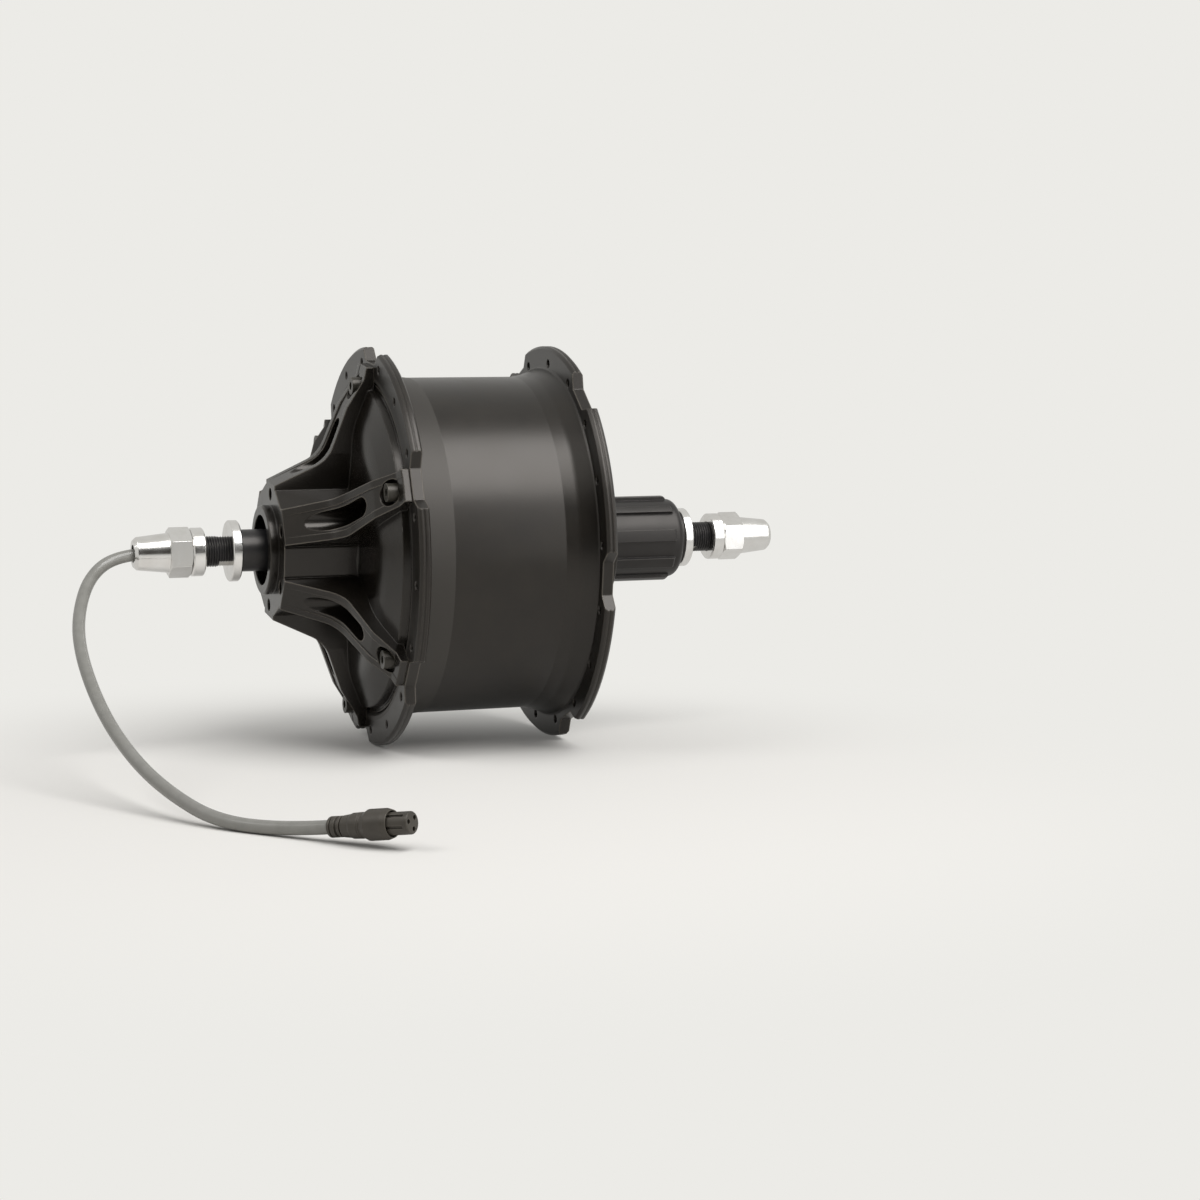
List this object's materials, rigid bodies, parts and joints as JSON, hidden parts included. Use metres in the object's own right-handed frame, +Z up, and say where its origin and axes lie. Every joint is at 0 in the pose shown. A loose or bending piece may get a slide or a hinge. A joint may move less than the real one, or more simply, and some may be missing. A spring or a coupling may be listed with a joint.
{
  "type": "bicycle hub motor",
  "caption": "Geared rear wheel hub motor: flanged drum with a ribbed side cover, disc brake seat, splined freehub, threaded axle with cap nuts, and a motor cable ending in a plug.",
  "frame": {"origin": "on the axle's centreline; the middle of the two frame seats lies 2.5 mm towards +Y", "axes": "+Y along the axle towards the brake disc and cable side, -Y towards the freehub, +Z up"},
  "size_m": [0.2921, 0.2933, 0.157],
  "materials": {
    "black_cast": "satin",
    "black_steel": "black oxide",
    "nickel": "bright plate",
    "screw_steel": "black oxide",
    "bearing_steel": "ground",
    "seal_rubber": "matt",
    "gear_nylon": "moulded",
    "cast_aluminium": "cast",
    "lamination": "stamped",
    "copper": "enamelled wire",
    "magnet": "nickel plate",
    "board": "circuit board",
    "cable_grey": "matt",
    "plug_plastic": "moulded"
  },
  "bodies": {
    "axle": {"axle": "black_steel", "axle_key": "black_steel", "left_seat_washer": "nickel", "right_seat_washer": "nickel", "left_bearing_inner": "bearing_steel", "right_bearing_inner": "bearing_steel", "rotor_bearing_inner": "bearing_steel", "freehub_outer_bearing_inner": "bearing_steel", "freehub_inner_bearing_inner": "bearing_steel", "planet_carrier": "bearing_steel", "planet_pins": "bearing_steel", "carrier_ring": "bearing_steel", "clutch_race": "bearing_steel", "clutch_rollers": "bearing_steel", "stator_carrier": "cast_aluminium", "stator_core": "lamination", "stator_windings": "copper", "hall_board": "board", "board_circlip": "black_steel", "lock_ring": "black_steel", "freehub_spacer": "bearing_steel", "bearing_spacer": "bearing_steel", "clutch_spacer": "bearing_steel", "cable_gland": "seal_rubber", "phase_leads": "cable_grey", "motor_cable": "cable_grey", "cable_plug": "plug_plastic"},
    "hub": {"hub_shell": "black_cast", "side_cover": "black_cast", "cover_oring": "seal_rubber", "cover_screws": "screw_steel", "cover_seal": "seal_rubber", "left_bearing_outer": "bearing_steel", "right_bearing_outer": "bearing_steel", "ring_gear": "bearing_steel", "ring_gear_screws": "screw_steel", "ratchet_ring": "bearing_steel"},
    "rotor": {"rotor_cup": "lamination", "rotor_magnets": "magnet", "sun_gear": "bearing_steel", "rotor_bearing_outer": "bearing_steel"},
    "planet_1": {"planet_gear_1": "gear_nylon"},
    "planet_2": {"planet_gear_2": "gear_nylon"},
    "planet_3": {"planet_gear_3": "gear_nylon"},
    "freehub": {"freehub_body": "black_steel", "freehub_outer_bearing_outer": "bearing_steel", "freehub_inner_bearing_outer": "bearing_steel"},
    "pawl_1": {"pawl_1": "bearing_steel"},
    "pawl_2": {"pawl_2": "bearing_steel"},
    "pawl_3": {"pawl_3": "bearing_steel"},
    "left_bearing_cage": {"left_bearing_balls": "bearing_steel"},
    "right_bearing_cage": {"right_bearing_balls": "bearing_steel"},
    "rotor_bearing_cage": {"rotor_bearing_balls": "bearing_steel"},
    "freehub_outer_cage": {"freehub_outer_bearing_balls": "bearing_steel"},
    "freehub_inner_cage": {"freehub_inner_bearing_balls": "bearing_steel"},
    "left_collar": {"left_collar": "nickel"},
    "left_nut": {"left_nut": "nickel"},
    "right_collar": {"right_collar": "nickel"},
    "right_nut": {"right_nut": "nickel"}
  },
  "joints": [
    {"name": "hub_spin", "type": "hinge", "parent": "axle", "child": "hub", "pos_m": [0, 0, 0], "axis": [0, 1, 0], "continuous": true},
    {"name": "rotor_spin", "type": "hinge", "parent": "axle", "child": "rotor", "pos_m": [0, 0, 0], "axis": [0, 1, 0], "continuous": true},
    {"name": "planet_1_spin", "type": "hinge", "parent": "axle", "child": "planet_1", "pos_m": [0, 0, 0.027], "axis": [0, 1, 0], "continuous": true},
    {"name": "planet_2_spin", "type": "hinge", "parent": "axle", "child": "planet_2", "pos_m": [-0.02338, 0, -0.0135], "axis": [0, 1, 0], "continuous": true},
    {"name": "planet_3_spin", "type": "hinge", "parent": "axle", "child": "planet_3", "pos_m": [0.02338, 0, -0.0135], "axis": [0, 1, 0], "continuous": true},
    {"name": "freehub_spin", "type": "hinge", "parent": "axle", "child": "freehub", "pos_m": [0, 0, 0], "axis": [0, 1, 0], "continuous": true},
    {"name": "left_bearing_cage_spin", "type": "hinge", "parent": "axle", "child": "left_bearing_cage", "pos_m": [0, 0, 0], "axis": [0, 1, 0], "continuous": true},
    {"name": "right_bearing_cage_spin", "type": "hinge", "parent": "axle", "child": "right_bearing_cage", "pos_m": [0, 0, 0], "axis": [0, 1, 0], "continuous": true},
    {"name": "rotor_bearing_cage_spin", "type": "hinge", "parent": "axle", "child": "rotor_bearing_cage", "pos_m": [0, 0, 0], "axis": [0, 1, 0], "continuous": true},
    {"name": "freehub_outer_cage_spin", "type": "hinge", "parent": "axle", "child": "freehub_outer_cage", "pos_m": [0, 0, 0], "axis": [0, 1, 0], "continuous": true},
    {"name": "freehub_inner_cage_spin", "type": "hinge", "parent": "axle", "child": "freehub_inner_cage", "pos_m": [0, 0, 0], "axis": [0, 1, 0], "continuous": true},
    {"name": "pawl_1_swing", "type": "hinge", "parent": "freehub", "child": "pawl_1", "pos_m": [0, -0.0507, 0.0169], "axis": [0, -1, 0], "range_deg": [0, 20]},
    {"name": "pawl_2_swing", "type": "hinge", "parent": "freehub", "child": "pawl_2", "pos_m": [-0.01464, -0.0507, -0.00845], "axis": [0, -1, 0], "range_deg": [0, 20]},
    {"name": "pawl_3_swing", "type": "hinge", "parent": "freehub", "child": "pawl_3", "pos_m": [0.01464, -0.0507, -0.00845], "axis": [0, -1, 0], "range_deg": [0, 20]},
    {"name": "left_collar_slide", "type": "slide", "parent": "axle", "child": "left_collar", "axis": [0, 1, 0], "range_m": [-0.0046, 0]},
    {"name": "left_nut_turn", "type": "hinge", "parent": "left_collar", "child": "left_nut", "pos_m": [0, 0, 0], "axis": [0, 1, 0], "range_deg": [-1658, 0]},
    {"name": "right_collar_slide", "type": "slide", "parent": "axle", "child": "right_collar", "axis": [0, 1, 0], "range_m": [0, 0.0046]},
    {"name": "right_nut_turn", "type": "hinge", "parent": "right_collar", "child": "right_nut", "pos_m": [0, 0, 0], "axis": [0, 1, 0], "range_deg": [0, 1658]}
  ],
  "couplings": [
    {"joint": "rotor_spin", "follows": "hub_spin", "ratio": -5},
    {"joint": "planet_1_spin", "follows": "hub_spin", "ratio": 2.5},
    {"joint": "planet_2_spin", "follows": "hub_spin", "ratio": 2.5},
    {"joint": "planet_3_spin", "follows": "hub_spin", "ratio": 2.5},
    {"joint": "left_bearing_cage_spin", "follows": "hub_spin", "ratio": 0.59128},
    {"joint": "right_bearing_cage_spin", "follows": "hub_spin", "ratio": 0.632},
    {"joint": "rotor_bearing_cage_spin", "follows": "hub_spin", "ratio": -2.95},
    {"joint": "freehub_outer_cage_spin", "follows": "freehub_spin", "ratio": 0.61},
    {"joint": "freehub_inner_cage_spin", "follows": "freehub_spin", "ratio": 0.61},
    {"joint": "pawl_2_swing", "follows": "pawl_1_swing", "ratio": 1},
    {"joint": "pawl_3_swing", "follows": "pawl_1_swing", "ratio": 1},
    {"joint": "left_nut_turn", "follows": "left_collar_slide", "rad_per_m": 6283.2},
    {"joint": "right_nut_turn", "follows": "right_collar_slide", "rad_per_m": 6283.2}
  ]
}
